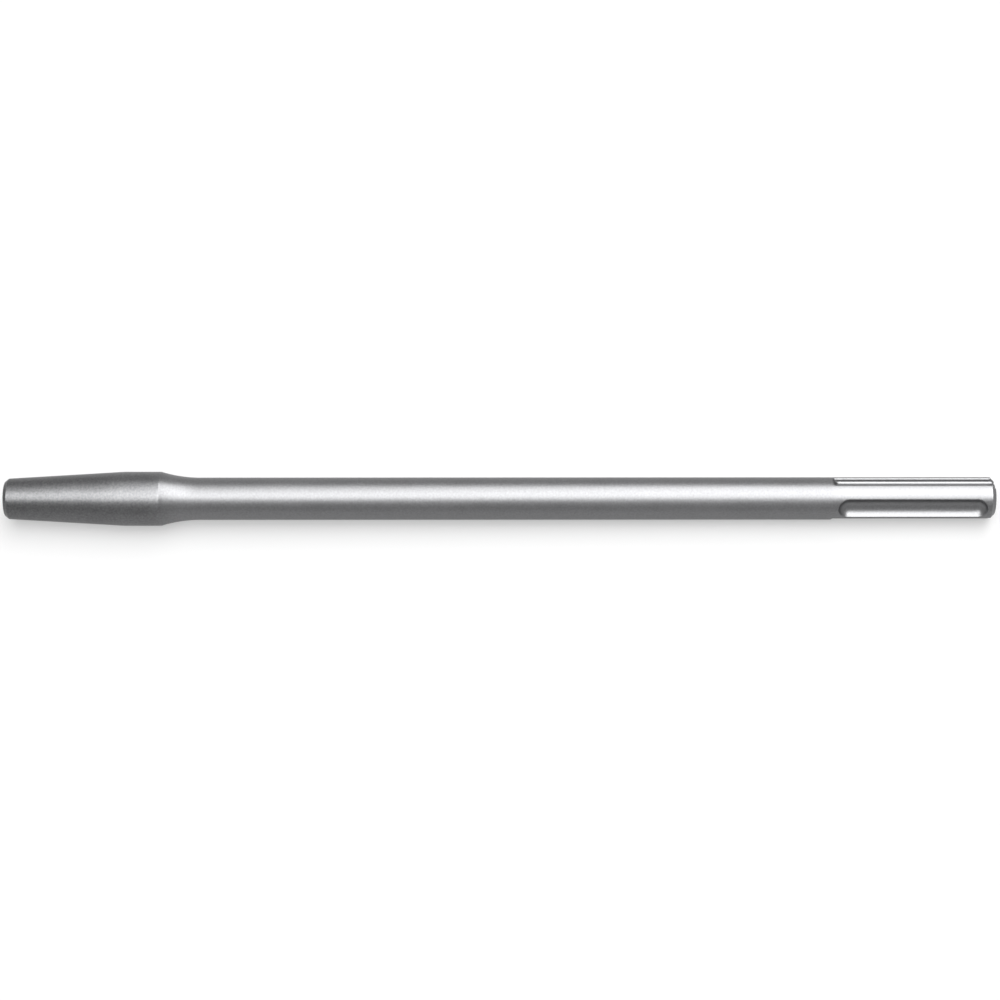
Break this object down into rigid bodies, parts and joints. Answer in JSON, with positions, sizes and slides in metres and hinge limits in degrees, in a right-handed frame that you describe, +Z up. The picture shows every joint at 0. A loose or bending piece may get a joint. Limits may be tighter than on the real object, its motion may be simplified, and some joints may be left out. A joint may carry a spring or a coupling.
{
  "type": "floor scraper adaptor",
  "caption": "One-piece steel adaptor bar with a tapered nose, a short collar and a slotted round hammer shank, for driving a floor scraper blade.",
  "frame": {"origin": "centre of the striking face, on the bar's axis", "axes": "+X along the bar and out of the striking face, towards the hammer; +Z up as the adaptor lies at rest on the two edges of its lowest drive groove"},
  "size_m": [0.42, 0.023, 0.023],
  "materials": {
    "adaptor": "satin blasted and ground tool steel"
  },
  "bodies": {
    "root": {"adaptor": "adaptor"}
  },
  "joints": []
}
